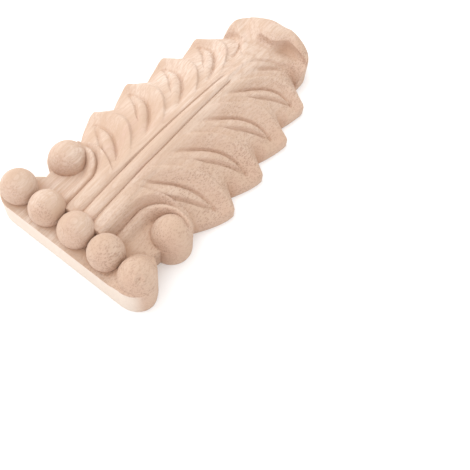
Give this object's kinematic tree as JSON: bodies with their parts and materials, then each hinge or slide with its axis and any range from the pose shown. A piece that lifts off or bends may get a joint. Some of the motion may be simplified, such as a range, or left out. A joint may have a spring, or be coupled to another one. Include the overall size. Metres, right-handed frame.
{
  "type": "carved wood applique",
  "caption": "Carved acanthus-leaf applique in bare wood, with a row of balls at its foot, scrolled sides, a midrib and a curled tip; its back is flat for gluing on.",
  "frame": {"origin": "centre of the flat back, half way between the plate's end face and the leaf's tip", "axes": "+X across the leaf, +Y from the plate to the leaf's tip, +Z out of the flat back towards the carved face"},
  "size_m": [0.0632, 0.1204, 0.0186],
  "materials": {
    "wood": "unfinished, sanded pale hardwood with fine open pores"
  },
  "bodies": {
    "root": {"carved_applique": "wood"}
  },
  "joints": []
}
